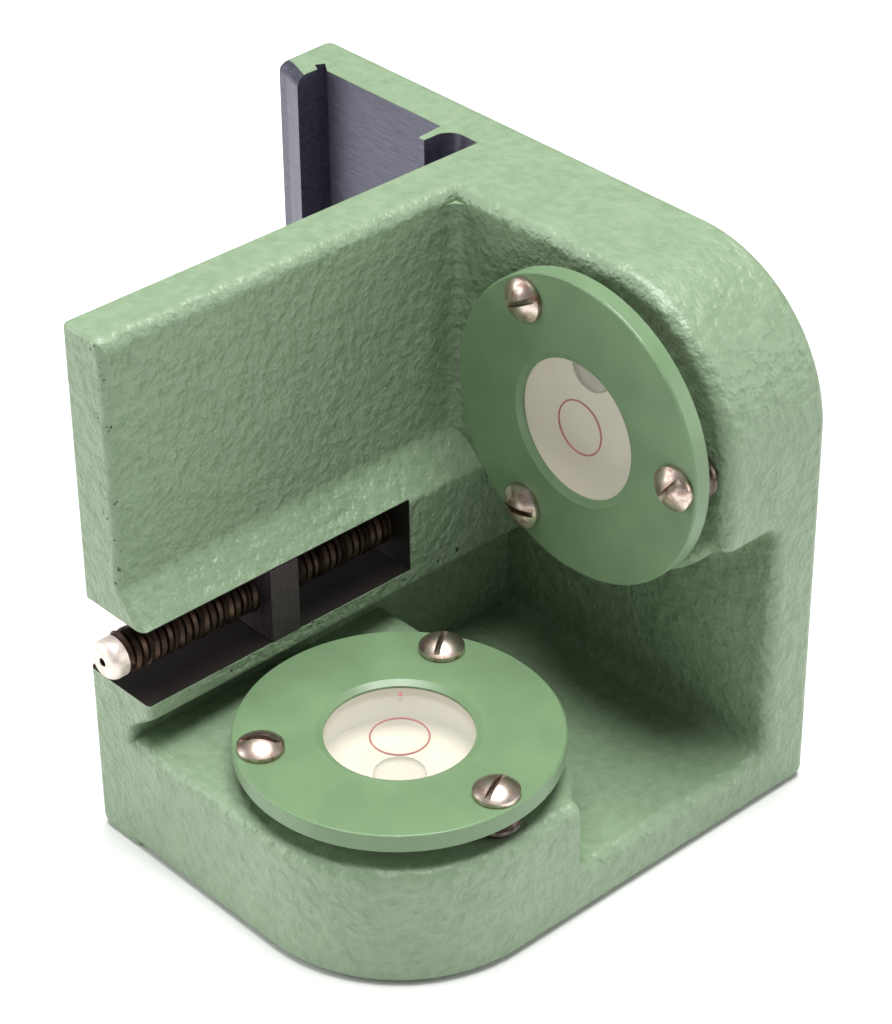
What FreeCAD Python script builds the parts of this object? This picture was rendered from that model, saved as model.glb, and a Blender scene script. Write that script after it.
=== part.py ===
import FreeCAD, Part
import math
import os

from FreeCAD import Placement, Rotation, Vector

# Precision machinist level: a cast corner block with two circular vials, one
# on the floor plate and one on the back plate, a work corner behind it, and a
# screw-driven clamp block that slides in a slot through the side wall.
# Millimetres, +Z up.  The origin lies on the underside, under the lower vial.
# +Y points to the back plate, -X to the work corner.

# ---- driving dimensions: casting ----
LOBE_R = 21.75          # rounded lobe round each vial, free corner of a plate
DEPTH = 74.75           # free edge of the floor plate to the back face
HEIGHT = 76.0           # underside to the top face
WIDTH = 56.5            # measuring face of the side wall to the right-hand side
PAD_T = 17.8            # plate thickness where it carries a vial
FLOOR_T = 7.4           # floor plate in the inner pocket
BACK_T = 8.5            # back plate in the inner pocket
WALL_T = 7.6            # side wall
FLARE_R = 6.0           # concave run-out of a lobe into the right-hand side
EDGE_R = 1.8            # rounding of the outer cast edges
CORNER_R = 2.2          # concave rounding in the inner corners

# ---- rail and clamp slot in the side wall ----
RAIL_X = 12.3           # face of the rail, from the measuring face
RAIL_TOP = 40.8         # where the slope of the rail meets the wall
RAIL_BOTTOM = 19.6
RAIL_LIP = 2.2          # height of the lower lip's face under the slot
RAIL_NOSE_R = 0.9
SLOT_FLOOR = 25.4
SLOT_H = 11.0
SLOT_L = 44.0           # from the open end

# ---- wing with the machined recess ----
WING_L = 37.3           # from the measuring face to the wing's end
RECESS_Y = 7.5          # recess face, from the back face
LIP_W = 6.4             # lip at the end of the wing
LIP_Y = 11.8            # crest of the lip, from the back face
LIP_LOW_Y = 10.0        # outer edge of the lip, from the back face
UNDERCUT = 1.3          # relief in the corner behind the lip
RIB_W = 1.4             # thin rib beside the relief groove
GROOVE_R = 2.5          # rounded relief groove next to the measuring face

# ---- vial unit ----
FLANGE_R = 21.0
FLANGE_T = 2.4
FLANGE_GAP = 3.0        # height of the spring washers between pad and flange
WINDOW_R = 9.6
WINDOW_BEVEL = 0.9
WINDOW_LIP = 0.8        # flange left above the glass
CAPSULE_R = 12.2
CAPSULE_H = 7.6         # from the glass top to the capsule's floor
CAPSULE_WALL = 1.0
GLASS_T = 1.2
GLASS_RISE = 0.35       # crown of the glass
GLASS_CLEAR = 0.1       # window of the glass inside the flange's hole
DIAL_T = 0.5
BUBBLE_R = 3.0
BUBBLE_SINK = 1.2       # depth of the bubble's centre under the glass
BUBBLE_CLEAR = 0.2      # bubble to the cup's wall
SCREW_PCR = 17.6
SCREW_COUNT = 3

# ---- adjusting screws ----
SCREW_R = 1.5
SCREW_GRIP = 6.5        # length held in the casting
HEAD_R = 3.0
HEAD_RIM = 0.7
HEAD_H = 1.9
DRIVER_SLOT_W = 0.8
DRIVER_SLOT_D = 0.9
WASHER_R = 3.1
WASHER_T = 0.45
LOWER_SLOT_DEG = (111.0, 123.0, 40.0)
UPPER_SLOT_DEG = (53.0, 27.0, 2.0)
LOWER_BUBBLE_DEG = -42.0
UPPER_BUBBLE_DEG = 66.0

# ---- clamp ----
CLAMP_R = 3.0           # threaded stem, outside
CLAMP_X = 6.8           # axis, from the measuring face
CLAMP_PROUD = 2.8       # stem past the open end of the slot
TIP_L = 2.4             # plain rounded tip
TIP_R = 2.75
TIP_HOLE_R = 0.75
JOURNAL_R = 2.4
JOURNAL_L = 9.0
BLOCK_T = 4.6
BLOCK_START = 20.2      # front of the block at rest, from the slot's open end
JAW_L = 9.0             # jaw behind the measuring face

# ---- clearances ----
RUN_FIT = 0.05          # radial, shaft in hole
SLIDE_FIT = 0.12        # block in slot, each side
SCREW_FIT = 0.2         # adjusting screw in flange, radial
BORE_CLEAR = 0.9        # capsule in the casting, radial
SEAT_CLEAR = 1.2        # capsule over the bottom of its bore

# ---- places that follow ----
X_WALL = LOBE_R - WIDTH
Y_FREE = -LOBE_R
Y_BACK = DEPTH - LOBE_R
Z_VIAL = HEIGHT - LOBE_R
SLOT_TOP = SLOT_FLOOR + SLOT_H
Y_SLOT_END = Y_FREE + SLOT_L
CLAMP_Z = SLOT_FLOOR + SLOT_H / 2
FLANGE_TOP = FLANGE_GAP + FLANGE_T
GLASS_TOP = FLANGE_TOP - WINDOW_LIP
CAPSULE_FLOOR = GLASS_TOP - CAPSULE_H
BORE_R = CAPSULE_R + BORE_CLEAR
BORE_DEPTH = SEAT_CLEAR - CAPSULE_FLOOR


def arc_corner(before, corner, after, radius):
    """Tangent points and middle of the arc that rounds one corner."""
    u = (before - corner).normalize()
    v = (after - corner).normalize()
    half = u.getAngle(v) / 2
    reach = radius / math.tan(half)
    centre = corner + (u + v).normalize() * (radius / math.sin(half))
    middle = centre + (corner - centre).normalize() * radius
    return corner + u * reach, middle, corner + v * reach


def profile(points, to_space):
    """Face from (a, b) or (a, b, radius) corners; to_space maps (a, b) to 3D."""
    corners = [to_space(p[0], p[1]) for p in points]
    radii = [p[2] if len(p) > 2 else 0 for p in points]
    count = len(corners)
    starts, ends, edges = [], [], []
    for i, corner in enumerate(corners):
        if radii[i] == 0:
            starts.append(corner)
            ends.append(corner)
            continue
        a, m, b = arc_corner(corners[i - 1], corner, corners[(i + 1) % count], radii[i])
        edges.append(Part.Arc(a, m, b).toShape())
        starts.append(a)
        ends.append(b)
    for i in range(count):
        a, b = ends[i], starts[(i + 1) % count]
        if a.distanceToPoint(b) > 1e-6:
            edges.append(Part.LineSegment(a, b).toShape())
    return Part.Face(Part.Wire(Part.__sortEdges__(edges)))


def plan(z):
    return lambda a, b: Vector(a, b, z)


def elevation(y):
    return lambda a, b: Vector(a, y, b)


def block(x0, x1, y0, y1, z0, z1):
    return Part.makeBox(x1 - x0, y1 - y0, z1 - z0, Vector(x0, y0, z0))


def rod(radius, start, end):
    axis = end - start
    return Part.makeCylinder(radius, axis.Length, start, axis)


def turned(points):
    """Solid of revolution about Z from (radius, height) corners."""
    return profile(points, elevation(0)).revolve(Vector(), Vector(0, 0, 1), 360)


def round_edges(shape, radius, wanted):
    edges = [e for e in shape.Edges if wanted(e)]
    return shape.makeFillet(radius, edges)


def lies_at(edge, axis, value):
    low = getattr(edge.BoundBox, axis + "Min")
    high = getattr(edge.BoundBox, axis + "Max")
    return abs(low - value) < 1e-4 and abs(high - value) < 1e-4


# ---- casting ----
def thin_plate(reach, thick):
    """Floor plate without its pad, one corner rounded; reach is from the
    vial's axis to the far face."""
    left = X_WALL + WALL_T / 2
    corners = [(left, -LOBE_R), (LOBE_R, -LOBE_R, LOBE_R), (LOBE_R, reach), (left, reach)]
    return profile(corners, plan(0)).extrude(Vector(0, 0, thick))


def pad(under):
    """Vial pad: a lobe that runs straight into the side wall, with a concave
    flare where it leaves the right-hand side.  It starts at the height under."""
    left = X_WALL + WALL_T / 2
    run_y = math.sqrt((LOBE_R + FLARE_R) ** 2 - LOBE_R ** 2)
    tilt = math.atan2(run_y, LOBE_R)
    centre = Vector(LOBE_R, run_y, under)
    bend = (tilt + math.pi * 2.5) / 2
    flare_mid = centre + FLARE_R * Vector(math.cos(bend), math.sin(bend), 0)

    def on_lobe(angle):
        return Vector(LOBE_R * math.cos(angle), LOBE_R * math.sin(angle), under)

    low_left = Vector(left, -LOBE_R, under)
    high_left = Vector(left, LOBE_R, under)
    side_end = Vector(LOBE_R, run_y - FLARE_R, under)
    edges = [
        Part.LineSegment(low_left, on_lobe(-math.pi / 2)).toShape(),
        Part.Arc(on_lobe(-math.pi / 2), on_lobe(-math.pi / 4), on_lobe(0)).toShape(),
        Part.LineSegment(on_lobe(0), side_end).toShape(),
        Part.Arc(side_end, flare_mid, on_lobe(tilt)).toShape(),
        Part.Arc(on_lobe(tilt), on_lobe((tilt + math.pi / 2) / 2), on_lobe(math.pi / 2)).toShape(),
        Part.LineSegment(on_lobe(math.pi / 2), high_left).toShape(),
        Part.LineSegment(high_left, low_left).toShape(),
    ]
    solid = Part.Face(Part.Wire(edges)).extrude(Vector(0, 0, PAD_T - under))
    return round_edges(
        solid, EDGE_R, lambda e: lies_at(e, "Z", PAD_T) and not lies_at(e, "X", left)
    )


def stand_up(shape):
    """Swap height and depth, so a floor plate becomes the back plate."""
    upright = shape.mirror(Vector(), Vector(0, 1, 1))
    upright.translate(Vector(0, Y_BACK, Z_VIAL))
    return upright


def corner_plates():
    """Floor and back plate in one, outer edges rounded, with both pads."""
    shell = thin_plate(Y_BACK, FLOOR_T).fuse(stand_up(thin_plate(Z_VIAL, BACK_T)))
    shell = shell.removeSplitter()
    left = X_WALL + WALL_T / 2

    def outer(edge):
        on_outside = lies_at(edge, "Z", 0) or lies_at(edge, "Y", Y_BACK)
        return on_outside and not lies_at(edge, "X", left)

    def pocket_line(edge):
        return lies_at(edge, "Z", FLOOR_T) and lies_at(edge, "Y", Y_BACK - BACK_T)

    def on_plate(edge):
        return lies_at(edge, "Z", FLOOR_T) or lies_at(edge, "Y", Y_BACK - BACK_T)

    def side_rim(edge):
        return on_plate(edge) and lies_at(edge, "X", LOBE_R)

    def pad_foot(edge):
        at_end = lies_at(edge, "X", left) or lies_at(edge, "X", LOBE_R)
        return on_plate(edge) and not at_end and not pocket_line(edge)

    shell = round_edges(shell, EDGE_R, outer)
    shell = shell.fuse([pad(FLOOR_T / 2), stand_up(pad(BACK_T / 2))]).removeSplitter()
    shell = round_edges(shell, EDGE_R, pad_foot)
    shell = round_edges(shell, CORNER_R, pocket_line)
    return round_edges(shell, EDGE_R, side_rim)


def side_wall():
    """Side wall with its rail, drawn in end elevation."""
    x = X_WALL
    outline = [
        (x, 0, EDGE_R),
        (x + WALL_T, 0),
        (x + WALL_T, RAIL_BOTTOM, CORNER_R),
        (x + RAIL_X, SLOT_FLOOR - RAIL_LIP, RAIL_NOSE_R),
        (x + RAIL_X, RAIL_TOP - (RAIL_X - WALL_T), RAIL_NOSE_R),
        (x + WALL_T, RAIL_TOP, CORNER_R),
        (x + WALL_T, HEIGHT, EDGE_R),
        (x, HEIGHT, EDGE_R / 3),
    ]
    wall = profile(outline, elevation(Y_FREE)).extrude(Vector(0, DEPTH - BACK_T / 2, 0))
    return round_edges(wall, EDGE_R / 2, lambda e: lies_at(e, "Y", Y_FREE))


def wing():
    """Wing with lip, machined recess, rib and relief groove, drawn in plan."""
    end = X_WALL - WING_L
    step = end + LIP_W + RIB_W / 4
    rib = X_WALL - 2 * GROOVE_R - RIB_W
    y = Y_BACK
    outline = [
        (X_WALL + WALL_T / 2, y),
        (end, y, EDGE_R),
        (end + 0.6, y - LIP_LOW_Y, 0.6),
        (end + LIP_W / 2.4, y - LIP_LOW_Y - 0.35, 2.0),
        (step, y - LIP_Y),
        (step, y - RECESS_Y - UNDERCUT / 2),
        (step - UNDERCUT, y - RECESS_Y),
        (step - UNDERCUT / 2, y - RECESS_Y + UNDERCUT),
        (step + UNDERCUT, y - RECESS_Y),
        (rib, y - RECESS_Y),
        (rib + RIB_W / 4, y - LIP_Y),
        (rib + RIB_W, y - LIP_Y),
        (rib + RIB_W, y - RECESS_Y + 0.3, GROOVE_R),
        (X_WALL, y - RECESS_Y + 0.3),
        (X_WALL + WALL_T / 2, y - RECESS_Y + 0.3),
    ]
    body = profile(outline, plan(0)).extrude(Vector(0, 0, HEIGHT))
    return round_edges(body, EDGE_R, lambda e: lies_at(e, "Y", y) and abs(e.BoundBox.ZLength) < 1e-4)


def corner_web():
    """Concave web where the side wall meets the back pad, above the rail."""
    x, y, into = X_WALL + WALL_T, Y_BACK - PAD_T, WALL_T / 4
    centre = Vector(x + CORNER_R, y - CORNER_R, 0)
    middle = centre + CORNER_R * Vector(-math.sqrt(0.5), math.sqrt(0.5), 0)
    corners = [
        Vector(x + CORNER_R, y, 0), Vector(x + CORNER_R, y + into, 0), Vector(x - into, y + into, 0),
        Vector(x - into, y - CORNER_R, 0), Vector(x, y - CORNER_R, 0),
    ]
    edges = [Part.LineSegment(a, b).toShape() for a, b in zip(corners, corners[1:])]
    edges.append(Part.Arc(corners[-1], middle, corners[0]).toShape())
    web = Part.Face(Part.Wire(edges)).extrude(Vector(0, 0, 2 * (LOBE_R - EDGE_R)))
    web.translate(Vector(0, 0, Z_VIAL - LOBE_R + EDGE_R))
    return web


def on_floor(shape):
    moved = shape.copy()
    moved.translate(Vector(0, 0, PAD_T))
    return moved


def on_back(shape):
    """Seat a vial piece on the back plate, its axis pointing forwards."""
    moved = shape.copy()
    moved.Placement = Placement(
        Vector(0, Y_BACK - PAD_T, Z_VIAL), Rotation(Vector(1, 0, 0), 90)
    ).multiply(moved.Placement)
    return moved


def vial_bores():
    bore = rod(BORE_R, Vector(0, 0, -BORE_DEPTH), Vector(0, 0, 1))
    holes = [bore]
    for angle in screw_angles():
        at = spot(SCREW_PCR, angle)
        deep = Vector(0, 0, SCREW_GRIP + 1.0)
        holes.append(rod(SCREW_R + RUN_FIT, at - deep, at + Vector(0, 0, 1)))
    return holes


def body_casting():
    solid = corner_plates().fuse([side_wall(), wing(), corner_web()]).removeSplitter()
    slot = block(X_WALL - 1, X_WALL + RAIL_X + 1, Y_FREE - 1, Y_SLOT_END, SLOT_FLOOR, SLOT_TOP)
    stem = Vector(X_WALL + CLAMP_X, Y_SLOT_END - 1, CLAMP_Z)
    journal = rod(JOURNAL_R + RUN_FIT, stem, stem + Vector(0, JOURNAL_L + 1.5, 0))
    cuts = [slot, journal]
    for hole in vial_bores():
        cuts += [on_floor(hole), on_back(hole)]
    return solid.cut(cuts)


# ---- vial unit, built with its axis on Z and the pad's face at height 0 ----
def screw_angles():
    return [360.0 / SCREW_COUNT * i for i in range(SCREW_COUNT)]


def spot(radius, degrees, height=0):
    a = math.radians(degrees)
    return Vector(radius * math.cos(a), radius * math.sin(a), height)


def flange():
    low, top = FLANGE_GAP, FLANGE_TOP
    seat = CAPSULE_R + RUN_FIT
    ring = turned([
        (seat, low), (FLANGE_R, low), (FLANGE_R, top, 0.3),
        (WINDOW_R + WINDOW_BEVEL, top), (WINDOW_R, top - WINDOW_LIP * 0.6),
        (WINDOW_R, top - WINDOW_LIP), (seat, top - WINDOW_LIP),
    ])
    through = Vector(0, 0, FLANGE_TOP + 1)
    holes = [rod(SCREW_R + SCREW_FIT, spot(SCREW_PCR, a), spot(SCREW_PCR, a) + through)
             for a in screw_angles()]
    return ring.cut(holes)


def crown(rim_r, rim_z, rise):
    """Arc in the XZ plane from the axis out to the rim."""
    sphere_r = (rim_r ** 2 + rise ** 2) / (2 * rise)
    half = rim_r / 2
    drop = sphere_r - math.sqrt(sphere_r ** 2 - half ** 2)
    top = rim_z + rise
    return Part.Arc(Vector(0, 0, top), Vector(half, 0, top - drop), Vector(rim_r, 0, rim_z)).toShape()


def capped(rim_r, rim_z, rise, base_r, base_z):
    """Turned solid with a crowned top; the top's rim and the base may differ."""
    arc = crown(rim_r, rim_z, rise)
    ends = [Vector(rim_r, 0, rim_z), Vector(base_r, 0, rim_z), Vector(base_r, 0, base_z),
            Vector(0, 0, base_z), Vector(0, 0, rim_z + rise)]
    lines = [Part.LineSegment(a, b).toShape() for a, b in zip(ends, ends[1:])
             if a.distanceToPoint(b) > 1e-6]
    return Part.Face(Part.Wire([arc] + lines)).revolve(Vector(), Vector(0, 0, 1), 360)


def glass():
    """Glass lid: a crowned window with a rim that the flange's lip holds down."""
    return capped(WINDOW_R - GLASS_CLEAR, GLASS_TOP, GLASS_RISE, CAPSULE_R, GLASS_TOP - GLASS_T)


def cup():
    inner_r = CAPSULE_R - CAPSULE_WALL
    rim = GLASS_TOP - GLASS_T
    return turned([
        (0, CAPSULE_FLOOR), (CAPSULE_R, CAPSULE_FLOOR, 0.5), (CAPSULE_R, rim),
        (inner_r, rim), (inner_r, CAPSULE_FLOOR + CAPSULE_WALL), (0, CAPSULE_FLOOR + CAPSULE_WALL),
    ])


def dial():
    z = CAPSULE_FLOOR + CAPSULE_WALL
    return rod(CAPSULE_R - CAPSULE_WALL - RUN_FIT, Vector(0, 0, z), Vector(0, 0, z + DIAL_T))


def fluid(bubble_deg):
    inner_r = CAPSULE_R - CAPSULE_WALL - RUN_FIT
    z = CAPSULE_FLOOR + CAPSULE_WALL + DIAL_T
    liquid = rod(inner_r, Vector(0, 0, z), Vector(0, 0, GLASS_TOP - GLASS_T))
    at = spot(inner_r - BUBBLE_R - BUBBLE_CLEAR, bubble_deg, GLASS_TOP - GLASS_T - BUBBLE_SINK)
    bubble = Part.makeSphere(BUBBLE_R, at)
    return liquid.cut(bubble)


def adjusting_screw(index, slot_deg):
    angle = screw_angles()[index]
    seat = FLANGE_TOP
    rise = HEAD_H - HEAD_RIM
    head = capped(HEAD_R, seat + HEAD_RIM, rise, HEAD_R, seat)
    notch = block(-HEAD_R - 1, HEAD_R + 1, -DRIVER_SLOT_W / 2, DRIVER_SLOT_W / 2,
                  seat + HEAD_H - DRIVER_SLOT_D, seat + HEAD_H + 1)
    notch.rotate(Vector(), Vector(0, 0, 1), slot_deg)
    shank = rod(SCREW_R, Vector(0, 0, -SCREW_GRIP), Vector(0, 0, seat))
    screw = head.cut(notch).fuse(shank).removeSplitter()
    screw.translate(spot(SCREW_PCR, angle))
    return screw


def spring_washers(index):
    """Two cupped washers, face to face, that push the flange off its pad."""
    low_r, high_r = SCREW_R + SCREW_FIT, WASHER_R
    half = FLANGE_GAP / 2
    pair = turned([
        (low_r, 0), (low_r + 0.3, 0), (high_r, half - WASHER_T / 2),
        (high_r, half + WASHER_T / 2), (low_r + 0.3, FLANGE_GAP), (low_r, FLANGE_GAP),
        (low_r, FLANGE_GAP - WASHER_T), (high_r - WASHER_T, half), (low_r, WASHER_T),
    ])
    pair.translate(spot(SCREW_PCR, screw_angles()[index]))
    return pair


# ---- clamp ----
def clamp_screw():
    """Threaded stem with a rounded, drilled tip and a journal at its far end."""
    tip = turned([
        (0, 0), (TIP_R * 0.55, 0), (TIP_R, TIP_L * 0.45, 1.2), (TIP_R, TIP_L), (0, TIP_L),
    ])
    stem_end = CLAMP_PROUD + SLOT_L
    stem = rod(CLAMP_R, Vector(0, 0, TIP_L), Vector(0, 0, stem_end))
    journal = rod(JOURNAL_R, Vector(0, 0, stem_end), Vector(0, 0, stem_end + JOURNAL_L))
    drilling = rod(TIP_HOLE_R, Vector(0, 0, -1), Vector(0, 0, 3))
    screw = tip.fuse([stem, journal]).removeSplitter().cut(drilling)
    screw.Placement = Placement(
        Vector(X_WALL + CLAMP_X, Y_FREE - CLAMP_PROUD, CLAMP_Z), Rotation(Vector(1, 0, 0), -90)
    )
    return screw


def clamp_block():
    """Nut block that slides in the slot, with the jaw behind the side wall."""
    y0 = Y_FREE + BLOCK_START
    z0, z1 = SLOT_FLOOR + SLIDE_FIT, SLOT_TOP - SLIDE_FIT
    body = block(X_WALL - JAW_L, X_WALL + RAIL_X, y0, y0 + BLOCK_T, z0, z1)
    body = round_edges(body, 0.6, lambda e: lies_at(e, "X", X_WALL - JAW_L))
    stem = Vector(X_WALL + CLAMP_X, y0 - 1, CLAMP_Z)
    return body.cut(rod(CLAMP_R + RUN_FIT, stem, stem + Vector(0, BLOCK_T + 2, 0)))


def vial_unit(side, seat, slots, bubble_deg):
    pieces = {
        "flange_" + side: flange(),
        "vial_glass_" + side: glass(),
        "vial_cup_" + side: cup(),
        "vial_dial_" + side: dial(),
        "vial_fluid_" + side: fluid(bubble_deg),
    }
    for i in range(SCREW_COUNT):
        pieces["adjusting_screw_%s_%d" % (side, i + 1)] = adjusting_screw(i, slots[i])
        pieces["spring_washers_%s_%d" % (side, i + 1)] = spring_washers(i)
    return {name: seat(shape) for name, shape in pieces.items()}


def main():
    os.makedirs("parts", exist_ok=True)
    pieces = {
        "body_casting": body_casting(),
        "clamp_screw": clamp_screw(),
        "clamp_block": clamp_block(),
    }
    pieces.update(vial_unit("lower", on_floor, LOWER_SLOT_DEG, LOWER_BUBBLE_DEG))
    pieces.update(vial_unit("upper", on_back, UPPER_SLOT_DEG, UPPER_BUBBLE_DEG))
    for name, shape in pieces.items():
        if len(shape.Solids) != 1 or not shape.isValid():
            raise ValueError(name + " is not one valid solid")
        shape.Solids[0].exportStep("parts/%s.step" % name)
        box = shape.BoundBox
        print("%-28s %9.1f mm3  x %.2f..%.2f  y %.2f..%.2f  z %.2f..%.2f" % (
            name, shape.Volume, box.XMin, box.XMax, box.YMin, box.YMax, box.ZMin, box.ZMax))


main()
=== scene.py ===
"""Precision machinist level: finishes, clamp thread, vial fittings and stage."""
import math

import bmesh
import bpy
from mathutils import Matrix, Vector


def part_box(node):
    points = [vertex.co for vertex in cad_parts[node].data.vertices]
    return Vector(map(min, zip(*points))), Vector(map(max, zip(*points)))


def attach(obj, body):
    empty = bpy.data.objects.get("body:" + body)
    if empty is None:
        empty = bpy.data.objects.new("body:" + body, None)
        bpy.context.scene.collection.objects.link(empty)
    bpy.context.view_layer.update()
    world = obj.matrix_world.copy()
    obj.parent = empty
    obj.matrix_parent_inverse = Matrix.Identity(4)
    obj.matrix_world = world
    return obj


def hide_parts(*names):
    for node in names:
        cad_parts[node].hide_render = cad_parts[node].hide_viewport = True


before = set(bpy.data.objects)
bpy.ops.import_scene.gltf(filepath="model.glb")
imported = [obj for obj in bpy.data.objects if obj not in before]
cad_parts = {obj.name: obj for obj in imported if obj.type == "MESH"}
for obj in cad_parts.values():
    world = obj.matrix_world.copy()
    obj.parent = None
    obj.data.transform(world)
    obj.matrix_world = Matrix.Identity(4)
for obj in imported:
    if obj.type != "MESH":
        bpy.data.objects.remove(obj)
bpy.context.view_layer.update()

bl_info = {
    "name": "Precision machinist level",
    "version": (1, 0, 0),
    "blender": (4, 5, 0),
    "location": "3D View > Sidebar > Level",
    "description": "Finishes and small parts of a cast precision level with two circular vials",
    "category": "Object",
}

MM = 0.001

# casting: the jaw's reach, the slot's length and the height where chips start
JAW_REACH_MM = 9.0
SLOT_LENGTH_MM = 44.1
CHIPS_FROM_Z_MM = 40

# clamp screw, from its tip to its journal
TIP_L = 2.4 * MM
TIP_STEP = 0.25 * MM
NOSE_R = 1.2 * MM
HOLE_R = 0.6 * MM
HOLE_L = 3.0 * MM
CHAMFER = 0.1 * MM
JOURNAL_R = 2.4 * MM
JOURNAL_L = 9.0 * MM
THREAD_START = 0.45 * MM
THREAD_SHORT = 0.6 * MM
# radius of the ridge's section, as a share of the thread's depth
THREAD_RIDGE = 0.8
THREAD_POINTS = 28

# vials, measured from the flange's face and the vial's axis
SPIRIT_INSET = 0.03 * MM
BUBBLE_DEPTH = 3.35 * MM
BUBBLE_FLATNESS = 0.36
# side, distance from the vial's axis and direction in degrees
BUBBLE_PLACES = (("lower", 4.85 * MM, -42.5), ("upper", 7.75 * MM, 91.2))
# red dot in the lower vial, a painted reflection of the red ring: radius, half height, distance
# out, direction and segments
DOT_R = 0.35 * MM
DOT_HALF_H = 0.04 * MM
DOT_OUT = 8.75 * MM
DOT_DEG = 137.6
DOT_SEGMENTS = 20

# stage: ambient strength, then each lamp's name, place, diameter and watts
FLOOR_HALF = 0.36
FLOOR_DROP = 0.05 * MM
AMBIENT = 0.19
LAMP_TARGET = (0, 0.015, 0.03)
LAMPS = (
    ("overhead", (0.0, 0.05, 0.85), 0.6, 11.6),
    ("camera_left", (-0.5, -0.55, 0.25), 0.5, 3.0),
    ("camera_right", (0.6, 0.5, 0.25), 0.5, 1.8),
)
CAMERA_LENS = 112.2
CAMERA_SENSOR = 36.0
CAMERA_ANGLES = (47.606, 33.710, -0.535)
CAMERA_TARGET = (-0.00643, 0.01405, 0.04622)
CAMERA_DISTANCE = 0.3974
CAMERA_NEAR = 0.01


# ---- places, read from the frame ----
def node_box(name):
    low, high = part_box(name)
    return Vector(low), Vector(high)


def box_in_mm(name):
    low, high = node_box(name)
    return low / MM, high / MM


def vial_frame(side):
    """Matrix from a vial's own axes (its axis on +Z, flange face at 0) to the part."""
    low, high = node_box("flange_" + side)
    middle = (low + high) / 2
    if side == "lower":
        return Matrix.Translation((middle.x, middle.y, high.z))
    turn = Matrix.Rotation(math.radians(90), 4, "X")
    return Matrix.Translation((middle.x, low.y, middle.z)) @ turn


def polar(radius, degrees, height):
    angle = math.radians(degrees)
    return Matrix.Translation((radius * math.cos(angle), radius * math.sin(angle), height))


# ---- sizes and colours ----
def linear(hex_colour):
    """Linear RGBA of an sRGB hex colour."""
    parts = [int(hex_colour[i:i + 2], 16) / 255 for i in (1, 3, 5)]
    return [c / 12.92 if c <= 0.04045 else ((c + 0.055) / 1.055) ** 2.4 for c in parts] + [1.0]


def colour_property(name, description, hex_colour):
    return bpy.props.FloatVectorProperty(
        name=name, description=description, subtype="COLOR", size=4, min=0, max=1,
        default=linear(hex_colour))


def length_property(name, description, length_mm, **limits):
    return bpy.props.FloatProperty(
        name=name, description=description, default=length_mm * MM, unit="LENGTH", **limits)


class LevelColours(bpy.types.PropertyGroup):
    casting: colour_property("Casting paint", "Grey-green hammered enamel", "#84997C")
    casting_low: colour_property("Casting paint, hollows", "Enamel where it pools", "#7A9072")
    flange: colour_property("Flange paint", "Smooth semi-gloss enamel", "#6F8B66")
    machined: colour_property("Machined faces", "Blued, oiled cast iron", "#6B6A7A")
    nickel: colour_property("Screw plating", "Dull nickel", "#D8C8BE")
    tarnish: colour_property("Tarnish", "Brown tarnish on nickel", "#8A5F4A")
    oxide: colour_property("Oxide", "Black oxide on steel", "#40332B")
    block: colour_property("Clamp block", "Browned steel", "#4C4147")
    dial: colour_property("Dial", "Cream enamel behind the liquid", "#BBB5A1")
    ring: colour_property("Ring", "Red line on the vial's glass", "#8C3A33")
    floor: colour_property("Floor", "Pale paper floor", "#F7F7F6")


class LevelSizes(bpy.types.PropertyGroup):
    thread_pitch: length_property(
        "Thread pitch", "Lead of the clamp thread", 1.0, min=0.5 * MM)
    thread_depth: length_property(
        "Thread depth", "Crest to root of the clamp thread", 0.55, min=0.1 * MM)
    ring_radius: length_property("Ring radius", "Middle of the red line", 3.75)
    ring_width: length_property("Ring width", "Width of the red line", 0.27)
    ring_depth: length_property("Ring depth", "Red line below the flange's face", 1.15)
    bubble_radius: length_property("Bubble radius", "Radius of the air bubble", 3.4)
    paint_grain: length_property("Paint grain", "Size of the hammered paint's dimples", 1.5)


def sizes():
    return bpy.context.scene.level_sizes


def colours():
    return bpy.context.scene.level_colours


def shade(colour, factor):
    return tuple(min(1.0, value * factor) for value in colour[:3]) + (1.0,)


# ---- nodes ----
def add(tree, kind, inputs=None, out=0, **settings):
    """One node with its settings, input values and incoming links; gives one of its outputs."""
    made = tree.nodes.new(kind)
    for key, value in settings.items():
        setattr(made, key, value)
    for key, value in (inputs or {}).items():
        if isinstance(value, bpy.types.NodeSocket):
            tree.links.new(value, made.inputs[key])
        else:
            made.inputs[key].default_value = value
    return made.outputs[out]


def inside(tree, place, low, high):
    """1 inside a box given in millimetres, 0 outside it."""
    off = add(tree, "ShaderNodeVectorMath", {0: place, 1: (low + high) / 2}, operation="SUBTRACT")
    off = add(tree, "ShaderNodeVectorMath", {0: off}, operation="ABSOLUTE")
    off = add(tree, "ShaderNodeVectorMath", {0: off, 1: (high - low) / 2}, operation="SUBTRACT")
    x, y, z = add(tree, "ShaderNodeSeparateXYZ", {0: off}).node.outputs
    most = add(tree, "ShaderNodeMath", {0: y, 1: z}, operation="MAXIMUM")
    most = add(tree, "ShaderNodeMath", {0: x, 1: most}, operation="MAXIMUM")
    return add(tree, "ShaderNodeMath", {0: most, 1: 0.0}, operation="LESS_THAN")


def connect(tree, shader, **links):
    """Link sockets to the shader's inputs, named with _ for a space."""
    for name, socket in links.items():
        tree.links.new(socket, shader.inputs[name.replace("_", " ")])


def set_inputs(shader, **values):
    """Set the shader's inputs, named with _ for a space, to plain values."""
    for name, value in values.items():
        shader.inputs[name.replace("_", " ")].default_value = value


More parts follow.
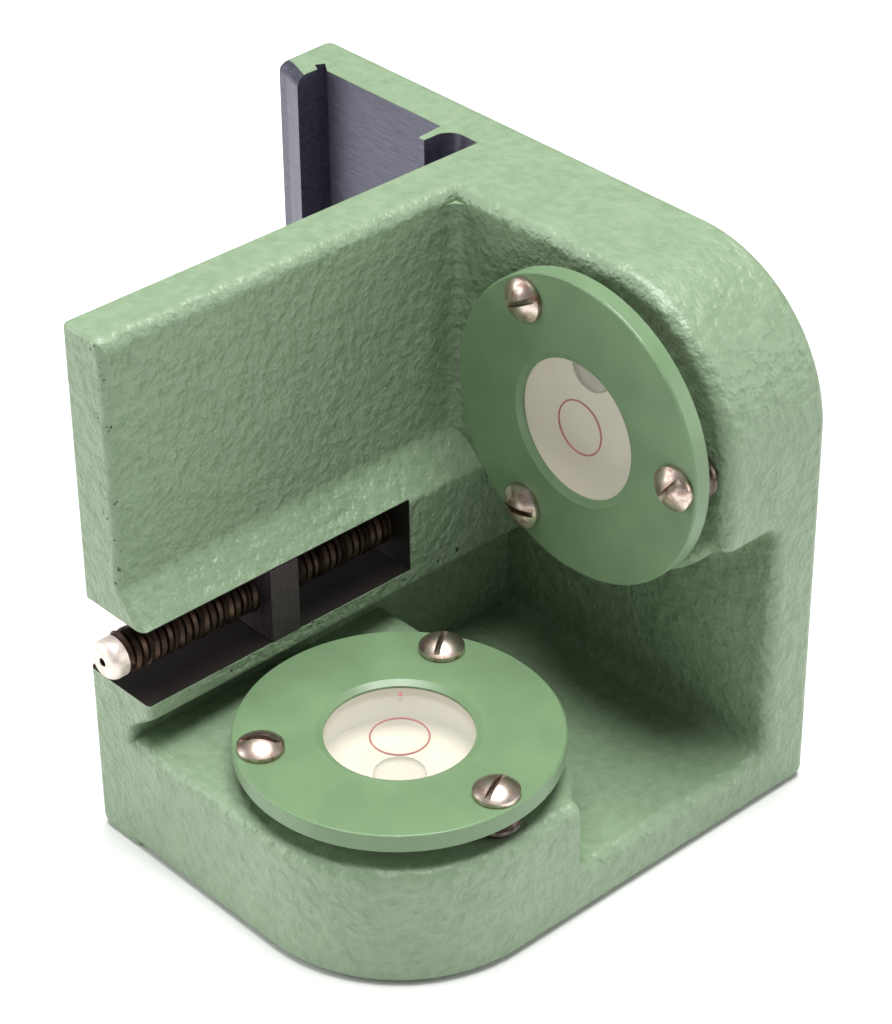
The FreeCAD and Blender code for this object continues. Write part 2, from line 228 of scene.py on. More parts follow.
def new_material(name):
    """Material with a Principled shader and the part's coordinates in millimetres."""
    material = bpy.data.materials.new(name)
    material.use_nodes = True
    tree = material.node_tree
    shader = next(n for n in tree.nodes if n.type == "BSDF_PRINCIPLED")
    place = add(tree, "ShaderNodeTexCoord", out="Object")
    in_mm = add(tree, "ShaderNodeVectorMath", {0: place, "Scale": 1 / MM}, operation="SCALE")
    return material, tree, shader, in_mm


# ---- the casting's zones, as boxes in millimetres around the faces they take ----
def measuring_face_x():
    """The x of the side wall's machined face, in from the clamp block's outer end."""
    return node_box("clamp_block")[0].x / MM + JAW_REACH_MM


def machined_zones(tree, place):
    """Masks of all machined faces of the casting, and of its clamp slot alone."""
    low, high = box_in_mm("body_casting")
    slot_low, slot_high = box_in_mm("clamp_block")
    face_x = measuring_face_x()
    recess = inside(tree, place, Vector((low.x + 0.7, low.y - 1, low.z + 0.3)),
                    Vector((face_x - 0.02, high.y - 6.1, high.z - 0.1)))
    face = inside(tree, place, Vector((face_x - 0.03, low.y + 1, low.z + 2)),
                  Vector((face_x + 0.05, high.y - 7.0, high.z - 0.4)))
    slot = inside(tree, place, Vector((face_x - 0.1, low.y - 1, slot_low.z - 0.18)),
                  Vector((slot_high.x - 0.12, low.y + SLOT_LENGTH_MM, slot_high.z + 0.18)))
    metal = add(tree, "ShaderNodeMath", {0: face, 1: slot}, operation="MAXIMUM")
    metal = add(tree, "ShaderNodeMath", {0: recess, 1: metal}, operation="MAXIMUM")
    return metal, slot


def chipped_spots(tree, place):
    """Mask of paint chips on the rail's edge and on the side wall's front corner."""
    low, high = box_in_mm("body_casting")
    slot_low, slot_high = box_in_mm("clamp_block")
    face_x = measuring_face_x()
    rail_edge = inside(tree, place, Vector((slot_high.x - 0.7, low.y - 1, slot_low.z - 1.2)),
                       Vector((slot_high.x + 0.2, high.y - 20, slot_low.z + 0.4)))
    corner = inside(tree, place, Vector((face_x + 5.6, low.y - 1, CHIPS_FROM_Z_MM)),
                    Vector((face_x + 9, low.y + 1.0, high.z + 1)))
    knocked = add(tree, "ShaderNodeMath", {0: rail_edge, 1: corner}, operation="MAXIMUM")
    grit = add(tree, "ShaderNodeTexNoise", {
        "Vector": place, "Scale": 1 / 1.1, "Detail": 3.0, "Roughness": 0.6})
    flakes = add(tree, "ShaderNodeMapRange", {"Value": grit, "From Min": 0.63, "From Max": 0.66})
    return add(tree, "ShaderNodeMath", {0: knocked, 1: flakes}, operation="MULTIPLY")


# ---- materials ----
def hammered_enamel():
    """Hammered grey-green enamel on rough cast iron, with blued machined faces.

    The paint gives a soft sheen over close dimples, flatter on faces that look
    up. The machined faces are darker, purple-grey and smoother, with fine
    cutter lines, and the slot's faces are painted near black as painted shade."""
    material, tree, shader, place = new_material("hammered_enamel")
    c = colours()
    grain = sizes().paint_grain / MM
    dimples = add(tree, "ShaderNodeTexNoise", {
        "Vector": place, "Scale": 1 / grain, "Detail": 1.5, "Roughness": 0.45})
    fine = add(tree, "ShaderNodeTexNoise", {"Vector": place, "Scale": 1 / (grain / 3.2)})
    swell = add(tree, "ShaderNodeTexNoise", {
        "Vector": place, "Scale": 1 / (grain * 3.5), "Detail": 1.0})
    metal, slot = machined_zones(tree, place)

    thick = add(tree, "ShaderNodeMapRange", {"Value": dimples, "From Min": 0.3, "From Max": 0.7})
    paint = add(tree, "ShaderNodeMix", {0: thick, 6: c.casting_low, 7: c.casting}, out=2,
                data_type="RGBA")
    bleached = add(tree, "ShaderNodeMapRange", {
        "Value": swell, "From Min": 0.5, "From Max": 0.8, "To Max": 0.6})
    paint = add(tree, "ShaderNodeMix", {0: bleached, 6: paint, 7: shade(c.casting, 1.08)}, out=2,
                data_type="RGBA")

    streak = add(tree, "ShaderNodeVectorMath", {0: place, 1: (0.25, 1.0, 3.0)},
                 operation="MULTIPLY")
    lines = add(tree, "ShaderNodeTexNoise", {
        "Vector": streak, "Scale": 1 / 0.8, "Detail": 3.0, "Roughness": 0.6})
    cut = add(tree, "ShaderNodeMapRange", {"Value": lines, "From Min": 0.3, "From Max": 0.75})
    blued = add(tree, "ShaderNodeMix", {0: cut, 6: shade(c.machined, 0.55), 7: c.machined}, out=2,
                data_type="RGBA")
    # painted shade: the slot's faces are painted near black for the shade inside the slot
    blued = add(tree, "ShaderNodeMix", {0: slot, 6: blued, 7: linear("#3A3634")}, out=2,
                data_type="RGBA")
    skin = add(tree, "ShaderNodeMix", {0: metal, 6: paint, 7: blued}, out=2, data_type="RGBA")
    chips = chipped_spots(tree, place)
    skin = add(tree, "ShaderNodeMix", {0: chips, 6: skin, 7: linear("#2E2A26")}, out=2,
               data_type="RGBA")

    fine = add(tree, "ShaderNodeMath", {0: fine, 1: 0.3}, operation="MULTIPLY")
    swell = add(tree, "ShaderNodeMath", {0: swell, 1: 0.7}, operation="MULTIPLY")
    relief = add(tree, "ShaderNodeMath", {0: dimples, 1: fine}, operation="ADD")
    relief = add(tree, "ShaderNodeMath", {0: relief, 1: swell}, operation="ADD")
    normal = add(tree, "ShaderNodeNewGeometry", out="Normal")
    up = add(tree, "ShaderNodeSeparateXYZ", {0: normal}, out="Z")
    settled = add(tree, "ShaderNodeMapRange", {
        "Value": up, "From Min": 0.6, "From Max": 0.95, "To Min": 1.0, "To Max": 0.5})
    relief = add(tree, "ShaderNodeMath", {0: relief, 1: settled}, operation="MULTIPLY")
    smooth = add(tree, "ShaderNodeMapRange", {"Value": metal, "To Min": 1.0, "To Max": 0.06})
    relief = add(tree, "ShaderNodeMath", {0: relief, 1: smooth}, operation="MULTIPLY")
    connect(tree, shader, Base_Color=skin,
            Roughness=add(tree, "ShaderNodeMapRange", {
                "Value": metal, "To Min": 0.36, "To Max": 0.38}),
            Metallic=add(tree, "ShaderNodeMapRange", {"Value": metal, "To Max": 0.55}),
            Normal=add(tree, "ShaderNodeBump", {"Height": relief, "Distance": 0.55 * MM}))
    return material


def gloss_enamel():
    """Smooth brushed-on enamel over turned steel: an even green with a soft shine."""
    material, tree, shader, place = new_material("gloss_enamel")
    c = colours()
    drift = add(tree, "ShaderNodeTexNoise", {"Vector": place, "Scale": 1 / 7.0})
    cloud = add(tree, "ShaderNodeMapRange", {"Value": drift, "From Min": 0.35, "From Max": 0.7})
    wear = add(tree, "ShaderNodeTexNoise", {"Vector": place, "Scale": 1 / 3.0, "Detail": 3.0})
    brushed = add(tree, "ShaderNodeTexNoise", {"Vector": place, "Scale": 1 / 1.2, "Detail": 1.0})
    connect(tree, shader,
            Base_Color=add(tree, "ShaderNodeMix", {
                0: cloud, 6: shade(c.flange, 0.86), 7: c.flange}, out=2, data_type="RGBA"),
            Roughness=add(tree, "ShaderNodeMapRange", {
                "Value": wear, "From Min": 0.3, "From Max": 0.7, "To Min": 0.3, "To Max": 0.4}),
            Normal=add(tree, "ShaderNodeBump", {
                "Height": brushed, "Distance": 0.012 * MM, "Strength": 0.5}))
    return material


def dull_nickel():
    """Nickel-plated turned steel: bright domes, brown patches, and painted shade darkening the
    slots.
    """
    material, tree, shader, place = new_material("dull_nickel")
    c = colours()
    patches = add(tree, "ShaderNodeTexNoise", {
        "Vector": place, "Scale": 1 / 1.3, "Detail": 3.0, "Roughness": 0.6})
    stain = add(tree, "ShaderNodeMapRange", {"Value": patches, "From Min": 0.45, "From Max": 0.75})
    # painted shade: the plating turns dark brown where ambient occlusion finds slots and crevices
    open_air = add(tree, "ShaderNodeAmbientOcclusion", {"Distance": 0.9 * MM}, out="AO")
    painted_slot_shade = add(tree, "ShaderNodeMapRange", {
        "Value": open_air, "From Min": 0.3, "From Max": 0.8, "To Min": 1.0, "To Max": 0.0})
    plate = add(tree, "ShaderNodeMix", {0: stain, 6: c.nickel, 7: c.tarnish}, out=2,
                data_type="RGBA")
    skin = add(tree, "ShaderNodeMix", {0: painted_slot_shade, 6: plate, 7: linear("#4E352A")}, out=2,
               data_type="RGBA")
    turned = add(tree, "ShaderNodeTexNoise", {"Vector": place, "Scale": 1 / 0.9})
    set_inputs(shader, Metallic=1.0)
    connect(tree, shader, Base_Color=skin,
            Roughness=add(tree, "ShaderNodeMapRange", {
                "Value": stain, "To Min": 0.3, "To Max": 0.5}),
            Normal=add(tree, "ShaderNodeBump", {
                "Height": turned, "Distance": 0.02 * MM, "Strength": 0.3}))
    return material


def black_oxide():
    """Black-oxide steel gone brown with oil, with a bright handled tip; the inside of the tip's
    hole is painted dark red-brown as painted shade.
    """
    material, tree, shader, place = new_material("black_oxide_steel")
    film = add(tree, "ShaderNodeTexNoise", {
        "Vector": place, "Scale": 1 / 1.7, "Detail": 3.0, "Roughness": 0.6})
    oily = add(tree, "ShaderNodeMapRange", {"Value": film, "From Min": 0.4, "From Max": 0.65})
    dark = add(tree, "ShaderNodeMix", {0: oily, 6: colours().oxide, 7: linear("#5B483B")}, out=2,
               data_type="RGBA")
    low, high = box_in_mm("clamp_screw")
    tip = inside(tree, place, low - Vector((1, 1, 1)),
                 Vector((high.x + 1, low.y + 2.35, high.z + 1)))
    centre = (low + high) / 2
    reach = Vector((0.9, 0, 0.9))
    hole_shade = inside(tree, place, Vector((centre.x, low.y + 0.12, centre.z)) - reach,
                     Vector((centre.x, low.y + 4, centre.z)) + reach)
    rubbed = add(tree, "ShaderNodeTexNoise", {"Vector": place, "Scale": 1 / 1.1})
    rubbed = add(tree, "ShaderNodeMapRange", {"Value": rubbed, "From Min": 0.5, "From Max": 0.75})
    bright = add(tree, "ShaderNodeMix", {
        0: rubbed, 6: linear("#EFE2D8"), 7: linear("#DDC9BC")}, out=2, data_type="RGBA")
    skin = add(tree, "ShaderNodeMix", {0: tip, 6: dark, 7: bright}, out=2, data_type="RGBA")
    # painted shade: the inside of the tip's hole is painted dark red-brown
    skin = add(tree, "ShaderNodeMix", {0: hole_shade, 6: skin, 7: linear("#4A2620")}, out=2,
               data_type="RGBA")
    grit = add(tree, "ShaderNodeTexNoise", {"Vector": place, "Scale": 1 / 0.3, "Detail": 3.0})
    connect(tree, shader, Base_Color=skin,
            Roughness=add(tree, "ShaderNodeMapRange", {
                "Value": tip, "To Min": 0.42, "To Max": 0.4}),
            Metallic=add(tree, "ShaderNodeMapRange", {
                "Value": tip, "To Min": 0.85, "To Max": 0.45}),
            Normal=add(tree, "ShaderNodeBump", {
                "Height": grit, "Distance": 0.02 * MM, "Strength": 0.5}))
    return material


def browned_steel():
    """Milled and browned steel: faint cutter lines and a dull sheen."""
    material, tree, shader, place = new_material("browned_steel")
    c = colours()
    along = add(tree, "ShaderNodeVectorMath", {0: place, 1: (1.0, 2.0, 0.25)},
                operation="MULTIPLY")
    lines = add(tree, "ShaderNodeTexNoise", {"Vector": along, "Scale": 1 / 0.5, "Detail": 3.0})
    lines = add(tree, "ShaderNodeMapRange", {"Value": lines, "From Min": 0.35, "From Max": 0.65})
    set_inputs(shader, Metallic=0.6)
    connect(tree, shader,
            Base_Color=add(tree, "ShaderNodeMix", {
                0: lines, 6: shade(c.block, 0.6), 7: c.block}, out=2, data_type="RGBA"),
            Roughness=add(tree, "ShaderNodeMapRange", {
                "Value": lines, "To Min": 0.5, "To Max": 0.38}),
            Normal=add(tree, "ShaderNodeBump", {
                "Height": lines, "Distance": 0.01 * MM, "Strength": 0.4}))
    return material


def spring_steel():
    """Cold-rolled spring steel, straw brown with a satin sheen."""
    material, tree, shader, place = new_material("spring_steel")
    tone = add(tree, "ShaderNodeTexNoise", {"Vector": place, "Scale": 1 / 0.8})
    tone = add(tree, "ShaderNodeMapRange", {"Value": tone, "From Min": 0.35, "From Max": 0.65})
    set_inputs(shader, Metallic=0.9)
    connect(tree, shader,
            Base_Color=add(tree, "ShaderNodeMix", {
                0: tone, 6: linear("#3C3632"), 7: linear("#6E6258")}, out=2, data_type="RGBA"),
            Roughness=add(tree, "ShaderNodeMapRange", {
                "Value": tone, "To Min": 0.45, "To Max": 0.35}))
    return material


def cream_enamel():
    """Matt cream enamel in the vial's translucent bowl: even, yellowed in clouds.

    A faint glow stands for the light that the bowl lets in from all sides."""
    material, tree, shader, place = new_material("cream_enamel")
    dial = colours().dial
    aged = tuple(a * b for a, b in zip(dial[:3], (0.93, 0.9, 0.82))) + (1.0,)
    cloud = add(tree, "ShaderNodeTexNoise", {"Vector": place, "Scale": 1 / 4.0})
    cloud = add(tree, "ShaderNodeMapRange", {"Value": cloud, "From Min": 0.4, "From Max": 0.75})
    set_inputs(shader, Emission_Color=linear("#FBF3E0"), Emission_Strength=0.23)
    connect(tree, shader,
            Base_Color=add(tree, "ShaderNodeMix", {0: cloud, 6: dial, 7: aged}, out=2,
                           data_type="RGBA"),
            Roughness=add(tree, "ShaderNodeMapRange", {
                "Value": cloud, "To Min": 0.45, "To Max": 0.6}))
    return material


def red_print_and_reflection():
    """Red print on the glass for the ring, a little uneven in strength; the same red colours the
    painted reflection of the ring as a dot.
    """
    material, tree, shader, place = new_material("red_print_and_reflection")
    ring = colours().ring
    worn = tuple(min(1.0, value * 1.5 + 0.05) for value in ring[:3]) + (1.0,)
    patchy = add(tree, "ShaderNodeTexNoise", {"Vector": place, "Scale": 1 / 0.5})
    set_inputs(shader, Roughness=0.5)
    connect(tree, shader, Base_Color=add(tree, "ShaderNodeMix", {0: patchy, 6: ring, 7: worn},
                                         out=2, data_type="RGBA"))
    return material


def clear_glass():
    """Polished optical glass lid: nearly clear, with a sharp highlight."""
    material, tree, shader, place = new_material("polished_glass")
    tint = add(tree, "ShaderNodeTexNoise", {"Vector": place, "Scale": 1 / 5.0})
    smear = add(tree, "ShaderNodeTexNoise", {"Vector": place, "Scale": 1 / 2.0})
    set_inputs(shader, Alpha=0.1, IOR=1.5, Specular_IOR_Level=1.0)
    connect(tree, shader,
            Base_Color=add(tree, "ShaderNodeMix", {
                0: tint, 6: linear("#F4F7EE"), 7: linear("#FFFFFF")}, out=2, data_type="RGBA"),
            Roughness=add(tree, "ShaderNodeMapRange", {
                "Value": smear, "From Min": 0.3, "From Max": 0.7, "To Min": 0.03,
                "To Max": 0.08}))
    return material


def clear_spirit():
    """Clear spirit behind the glass, with the faintest warm tint."""
    material, tree, shader, place = new_material("clear_spirit")
    tint = add(tree, "ShaderNodeTexNoise", {"Vector": place, "Scale": 1 / 6.0})
    set_inputs(shader, Alpha=0.01, IOR=1.36, Roughness=0.1)
    connect(tree, shader, Base_Color=add(tree, "ShaderNodeMix", {
        0: tint, 6: linear("#E9E6CC"), 7: linear("#F3F1DF")}, out=2, data_type="RGBA"))
    return material


def air_bubble(axis):
    """Air in spirit: clear in the middle, with a grey-green rim where its sides turn steep; the
    rim is painted shade that stands for the light bent at the bubble's edge.
    """
    material, tree, shader, place = new_material("air_bubble")
    normal = add(tree, "ShaderNodeNewGeometry", out="Normal")
    along = add(tree, "ShaderNodeVectorMath", {0: normal, 1: axis}, out="Value",
                operation="DOT_PRODUCT")
    level = add(tree, "ShaderNodeMath", {0: along, 1: 0.0}, operation="ABSOLUTE")
    tint = add(tree, "ShaderNodeTexNoise", {"Vector": place, "Scale": 1 / 2.0})
    set_inputs(shader, Roughness=0.08, IOR=1.36)
    # painted shade: the grey-green colour is most opaque at the steep rim, where the bubble bends
    # the light
    connect(tree, shader,
            Base_Color=add(tree, "ShaderNodeMix", {
                0: tint, 6: linear("#8C8870"), 7: linear("#A19D84")}, out=2, data_type="RGBA"),
            Alpha=add(tree, "ShaderNodeMapRange", {
                "Value": level, "From Min": 0.25, "From Max": 0.85, "To Min": 0.7,
                "To Max": 0.1}))
    return material


def seamless_paper():
    """Pale seamless paper under the part."""
    material, tree, shader, place = new_material("seamless_paper")
    floor = colours().floor
    tone = add(tree, "ShaderNodeTexNoise", {"Vector": place, "Scale": 1 / 60.0})
    set_inputs(shader, Roughness=0.9, Specular_IOR_Level=0.1)
    connect(tree, shader, Base_Color=add(tree, "ShaderNodeMix", {
        0: tone, 6: floor, 7: shade(floor, 0.985)}, out=2, data_type="RGBA"))
    return material


# ---- meshes ----
def finish_nodes(start, material):
    """Give a material to every CAD node whose name starts with this word."""
    found = [piece for name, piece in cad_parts.items() if name.startswith(start)]
    if not found:
        raise RuntimeError("no CAD node is named " + start)
    for piece in found:
        for slot in piece.material_slots:
            slot.material = material


def mesh_piece(name, bm, material, body, smooth_deg=40):
    """Object at the origin from a bmesh, riding on a body."""
    bmesh.ops.remove_doubles(bm, verts=bm.verts, dist=1e-7)
    bmesh.ops.recalc_face_normals(bm, faces=bm.faces)
    mesh = bpy.data.meshes.new(name)
    bm.to_mesh(mesh)
    bm.free()
    mesh.materials.append(material)
    mesh.shade_smooth()
    mesh.set_sharp_from_angle(angle=math.radians(smooth_deg))
    piece = bpy.data.objects.new(name, mesh)
    bpy.context.scene.collection.objects.link(piece)
    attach(piece, body)
    return piece


def lathe(profile, place, segments=64):
    """Closed turned solid from (radius, height) points that start and end on the axis."""
    bm = bmesh.new()
    verts = [bm.verts.new((radius, 0, height)) for radius, height in profile]
    edges = [bm.edges.new(pair) for pair in zip(verts, verts[1:])]
    bmesh.ops.spin(bm, geom=verts + edges, cent=(0, 0, 0), axis=(0, 0, 1),
                   angle=2 * math.pi, steps=segments, use_merge=True)
    bmesh.ops.remove_doubles(bm, verts=bm.verts, dist=1e-7)
    bmesh.ops.transform(bm, matrix=place, verts=bm.verts)
    return bm


def arc(centre_r, centre_z, radius, start_deg, end_deg, count=8):
    points = []
    for i in range(count + 1):
        angle = math.radians(start_deg + (end_deg - start_deg) * i / count)
        points.append((centre_r + radius * math.cos(angle), centre_z + radius * math.sin(angle)))
    return points


# ---- Geometry Nodes ----
def new_tree(name, lengths):
    """Geometry Nodes tree with named lengths and a material as its inputs."""
    tree = bpy.data.node_groups.new(name, "GeometryNodeTree")
    for label in lengths:
        socket = tree.interface.new_socket(label, in_out="INPUT", socket_type="NodeSocketFloat")
        socket.subtype = "DISTANCE"
    tree.interface.new_socket("Material", in_out="INPUT", socket_type="NodeSocketMaterial")
    tree.interface.new_socket("Mesh", in_out="OUTPUT", socket_type="NodeSocketGeometry")
    return tree, tree.nodes.new("NodeGroupInput").outputs


def sweep(tree, path, section_points, section_radius, material, capped=False):
    """A round section swept along the path, as the tree's result."""
    section = add(tree, "GeometryNodeCurvePrimitiveCircle", {
        "Resolution": section_points, "Radius": section_radius})
    swept = add(tree, "GeometryNodeCurveToMesh", {
        "Curve": path, "Profile Curve": section, "Fill Caps": capped})
    real = add(tree, "GeometryNodeRealizeInstances", {0: swept})
    done = add(tree, "GeometryNodeSetMaterial", {"Geometry": real, "Material": material})
    tree.links.new(done, tree.nodes.new("NodeGroupOutput").inputs[0])


def thread_tree():
    """A helical ridge of four-sided section, by length, lead, root radius and depth."""
    tree, given = new_tree("clamp thread", ["Length", "Lead", "Root Radius", "Depth"])
    turns = add(tree, "ShaderNodeMath", {0: given["Length"], 1: given["Lead"]},
                operation="DIVIDE")
    ridge = add(tree, "ShaderNodeMath", {0: given["Depth"], 1: THREAD_RIDGE},
                operation="MULTIPLY")
    inset = add(tree, "ShaderNodeMath", {0: given["Depth"], 1: 1 - THREAD_RIDGE},
                operation="MULTIPLY")
    middle = add(tree, "ShaderNodeMath", {0: given["Root Radius"], 1: inset}, operation="ADD")
    path = add(tree, "GeometryNodeCurveSpiral", {
        "Resolution": THREAD_POINTS, "Rotations": turns, "Start Radius": middle,
        "End Radius": middle, "Height": given["Length"]})
    sweep(tree, path, 4, ridge, given["Material"], capped=True)
    return tree


def ring_tree():
    """A printed ring: a fine circular line of a given radius and width."""
    tree, given = new_tree("printed ring", ["Radius", "Width"])
    path = add(tree, "GeometryNodeCurvePrimitiveCircle", {
        "Resolution": 96, "Radius": given["Radius"]})
    half = add(tree, "ShaderNodeMath", {0: given["Width"], 1: 0.5}, operation="MULTIPLY")
    sweep(tree, path, 6, half, given["Material"])
    return tree


def bake(name, tree, values, place, material, body):
    """Run a Geometry Nodes tree with named inputs and keep its result as a plain mesh."""
    holder = bpy.data.objects.new(name + "_nodes", bpy.data.meshes.new(name + "_nodes"))
    bpy.context.scene.collection.objects.link(holder)
    modifier = holder.modifiers.new("nodes", "NODES")
    modifier.node_group = tree
    sockets = {s.name: s.identifier for s in tree.interface.items_tree if s.in_out == "INPUT"}
    for key, value in values.items():
        modifier[sockets[key]] = value
    modifier[sockets["Material"]] = material
    graph = bpy.context.evaluated_depsgraph_get()
    mesh = bpy.data.meshes.new_from_object(holder.evaluated_get(graph))
    bpy.data.objects.remove(holder)
    mesh.transform(place)
    bm = bmesh.new()
    bm.from_mesh(mesh)
    bpy.data.meshes.remove(mesh)
    return mesh_piece(name, bm, material, body)


# ---- pieces ----
class LEVEL_OT_casting(bpy.types.Operator):
    """Paint the body casting and blue its machined faces"""
    bl_idname = "level.casting"
    bl_label = "Body casting"

    def execute(self, context):
        finish_nodes("body_casting", hammered_enamel())
        return {"FINISHED"}


class LEVEL_OT_flanges(bpy.types.Operator):
    """Paint both vial flanges"""
    bl_idname = "level.flanges"
    bl_label = "Flanges"

    def execute(self, context):
        finish_nodes("flange_", gloss_enamel())
        return {"FINISHED"}


class LEVEL_OT_screws(bpy.types.Operator):
    """Plate the adjusting screws and finish their spring washers"""
    bl_idname = "level.screws"
    bl_label = "Adjusting screws"

    def execute(self, context):
        finish_nodes("adjusting_screw_", dull_nickel())
        finish_nodes("spring_washers_", spring_steel())
        return {"FINISHED"}


class LEVEL_OT_clamp(bpy.types.Operator):
    """Clamp screw with its cut thread and bright tip, and the clamp block"""
    bl_idname = "level.clamp"
    bl_label = "Clamp"

    def execute(self, context):
        finish_nodes("clamp_block", browned_steel())
        low, high = node_box("clamp_screw")
        centre = (low + high) / 2
        turn = Matrix.Rotation(math.radians(-90), 4, "X")
        place = Matrix.Translation((centre.x, low.y, centre.z)) @ turn
        full = (high.x - low.x) / 2
        length = high.y - low.y
        depth = sizes().thread_depth
        root = full - depth
        tip_r = full - TIP_STEP
        outline = [(0, HOLE_L), (HOLE_R, HOLE_L), (HOLE_R, CHAMFER), (HOLE_R + CHAMFER, 0)]
        outline += arc(tip_r - NOSE_R, NOSE_R, NOSE_R, -90, 0)
        outline += [(tip_r, TIP_L), (root, TIP_L + CHAMFER), (root, length - JOURNAL_L),
                    (JOURNAL_R, length - JOURNAL_L), (JOURNAL_R, length), (0, length)]
        steel = black_oxide()
        core = mesh_piece("clamp_screw_core", lathe(outline, place), steel, "clamp_screw",
                          35)
        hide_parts("clamp_screw")
        values = {"Length": length - JOURNAL_L - TIP_L - THREAD_SHORT,
                  "Lead": sizes().thread_pitch, "Root Radius": root, "Depth": depth}
        start = place @ Matrix.Translation((0, 0, TIP_L + THREAD_START))
        bake("clamp_screw_thread", thread_tree(), values, start, steel, "clamp_screw")
        return {"FINISHED"}


def spirit_piece(side, place, material):
    """The liquid, drawn in a little so that it shares no face with cup, dial and glass."""
    corners = [place.inverted() @ corner for corner in node_box("vial_fluid_" + side)]
    heights = sorted(corner.z for corner in corners)
    reach = abs(corners[1].x - corners[0].x) / 2 - SPIRIT_INSET
    bottom, top = heights[0] + SPIRIT_INSET, heights[1] - SPIRIT_INSET
    bm = lathe([(0, bottom), (reach, bottom), (reach, top), (0, top)], place)
    filled = mesh_piece("spirit_" + side, bm, material, "level_body")
    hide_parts("vial_fluid_" + side)
    return filled


def bubble_piece(side, place, out, degrees):
    """A flattened air bubble under the glass."""
    bm = bmesh.new()
    bmesh.ops.create_uvsphere(bm, u_segments=48, v_segments=24, radius=sizes().bubble_radius)
    flat = Matrix.Diagonal((1, 1, BUBBLE_FLATNESS, 1))
    shift = polar(out, degrees, -BUBBLE_DEPTH)
    bmesh.ops.transform(bm, matrix=place @ shift @ flat, verts=bm.verts)
    air = air_bubble(place.to_3x3() @ Vector((0, 0, 1)))
    return mesh_piece("bubble_" + side, bm, air, "level_body", 180)


class LEVEL_OT_vials(bpy.types.Operator):
    """Circular vials: cream cup and dial, glass, spirit, red ring and bubble, and a red dot that
    is a painted reflection of the ring
    """
    bl_idname = "level.vials"
    bl_label = "Vials"

    def execute(self, context):
        enamel = cream_enamel()
        finish_nodes("vial_cup_", enamel)
        finish_nodes("vial_dial_", enamel)
        finish_nodes("vial_glass_", clear_glass())
        spirit, red_for_ring_and_reflection, tree = clear_spirit(), red_print_and_reflection(), ring_tree()
        s = sizes()
        line = {"Radius": s.ring_radius, "Width": s.ring_width}
        for side, out, degrees in BUBBLE_PLACES:
            place = vial_frame(side)
            at = place @ Matrix.Translation((0, 0, -s.ring_depth))
            bake("red_ring_" + side, tree, line, at, red_for_ring_and_reflection, "level_body")
            filled = spirit_piece(side, place, spirit)
            bubble = bubble_piece(side, place, out, degrees)
            # clear pieces let the lamps reach the dial
            for clear in (filled, bubble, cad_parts["vial_glass_" + side]):
                clear.visible_shadow = False
        # painted reflection: a red dot where the red ring shows mirrored near the window's edge
        spot = vial_frame("lower") @ polar(DOT_OUT, DOT_DEG, -s.ring_depth)
        bm = lathe([(0, -DOT_HALF_H), (DOT_R, -DOT_HALF_H), (DOT_R, DOT_HALF_H),
                    (0, DOT_HALF_H)], spot, DOT_SEGMENTS)
        mesh_piece("ring_reflection_lower", bm, red_for_ring_and_reflection, "level_body")
        return {"FINISHED"}


# ---- stage ----
def area_light(name, place, size, power):
    data = bpy.data.lights.new(name, "AREA")
    data.shape = "DISK"
    data.size = size
    data.energy = power
    lamp = bpy.data.objects.new(name, data)
    lamp.location = place
    toward = Vector(LAMP_TARGET) - Vector(place)
    lamp.rotation_euler = toward.to_track_quat("-Z", "Y").to_euler()
    bpy.context.scene.collection.objects.link(lamp)


def paper_floor():
    bm = bmesh.new()
    bmesh.ops.create_grid(bm, x_segments=1, y_segments=1, size=FLOOR_HALF)
    mesh = bpy.data.meshes.new("paper_floor")
    bm.to_mesh(mesh)
    bm.free()
    mesh.materials.append(seamless_paper())
    floor = bpy.data.objects.new("paper_floor", mesh)
    floor.location.z = -FLOOR_DROP
    bpy.context.scene.collection.objects.link(floor)


def studio_world():
    """White to the camera and through glass, dim as a light on the part."""
    world = bpy.data.worlds.new("studio")
    world.use_nodes = True
    tree = world.node_tree
    back = next(n for n in tree.nodes if n.type == "BACKGROUND")
    direct = add(tree, "ShaderNodeLightPath", out="Is Camera Ray")
    through = direct.node.outputs["Is Transmission Ray"]
    seen = add(tree, "ShaderNodeMath", {0: direct, 1: through}, operation="MAXIMUM")
    strength = add(tree, "ShaderNodeMapRange", {"Value": seen, "To Min": AMBIENT, "To Max": 1.0})
    back.inputs["Color"].default_value = linear("#FFFFFF")
    tree.links.new(strength, back.inputs["Strength"])
    return world


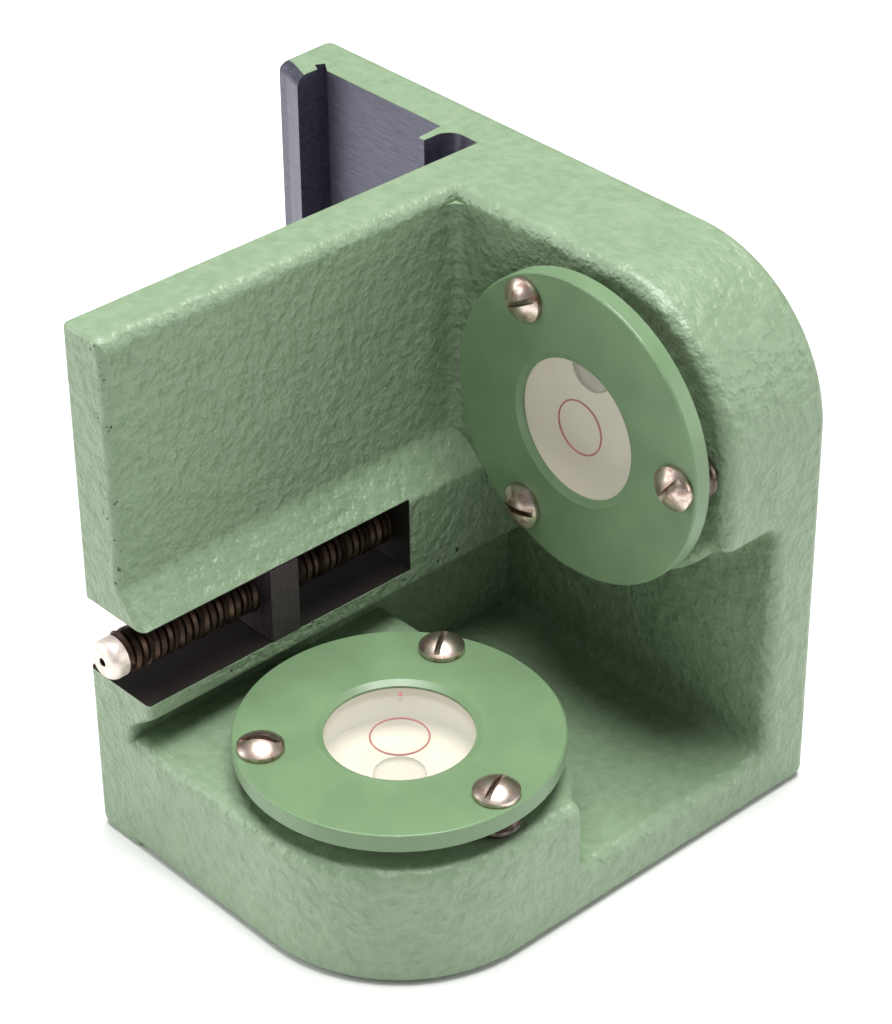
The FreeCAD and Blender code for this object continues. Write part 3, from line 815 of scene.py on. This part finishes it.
def studio_camera():
    data = bpy.data.cameras.new("camera")
    data.lens = CAMERA_LENS
    data.sensor_fit = "AUTO"
    data.sensor_width = CAMERA_SENSOR
    data.clip_start = CAMERA_NEAR
    camera = bpy.data.objects.new("camera", data)
    azimuth, elevation, roll = (math.radians(angle) for angle in CAMERA_ANGLES)
    toward = Vector((math.sin(azimuth) * math.cos(elevation),
                     -math.cos(azimuth) * math.cos(elevation), math.sin(elevation)))
    place = Matrix.Translation(Vector(CAMERA_TARGET) + toward * CAMERA_DISTANCE)
    aim = (-toward).to_track_quat("-Z", "Y").to_matrix().to_4x4()
    camera.matrix_world = place @ aim @ Matrix.Rotation(roll, 4, "Z")
    bpy.context.scene.collection.objects.link(camera)
    return camera


class LEVEL_OT_stage(bpy.types.Operator):
    """Pale paper floor, soft lamps and the camera"""
    bl_idname = "level.stage"
    bl_label = "Stage"

    def execute(self, context):
        scene = context.scene
        paper_floor()
        scene.world = studio_world()
        for lamp in LAMPS:
            area_light(*lamp)
        scene.camera = studio_camera()
        scene.view_settings.view_transform = "Standard"
        return {"FINISHED"}


# ---- add-on ----
class LEVEL_PT_panel(bpy.types.Panel):
    """Sizes, colours and pieces of the level"""
    bl_idname = "LEVEL_PT_panel"
    bl_label = "Machinist level"
    bl_space_type = "VIEW_3D"
    bl_region_type = "UI"
    bl_category = "Level"

    def draw(self, context):
        for group in (context.scene.level_sizes, context.scene.level_colours):
            for name in group.__annotations__:
                self.layout.prop(group, name)
        for operator in OPERATORS:
            self.layout.operator(operator.bl_idname)


OPERATORS = (LEVEL_OT_casting, LEVEL_OT_flanges, LEVEL_OT_screws, LEVEL_OT_clamp,
             LEVEL_OT_vials, LEVEL_OT_stage)
CLASSES = (LevelColours, LevelSizes, LEVEL_PT_panel) + OPERATORS


def register():
    for item in CLASSES:
        bpy.utils.register_class(item)
    bpy.types.Scene.level_colours = bpy.props.PointerProperty(type=LevelColours)
    bpy.types.Scene.level_sizes = bpy.props.PointerProperty(type=LevelSizes)


def unregister():
    del bpy.types.Scene.level_sizes
    del bpy.types.Scene.level_colours
    for item in reversed(CLASSES):
        bpy.utils.unregister_class(item)


def main():
    register()
    for operator in OPERATORS:
        group, name = operator.bl_idname.split(".")
        getattr(getattr(bpy.ops, group), name)()


if __name__ == "__main__":
    main()
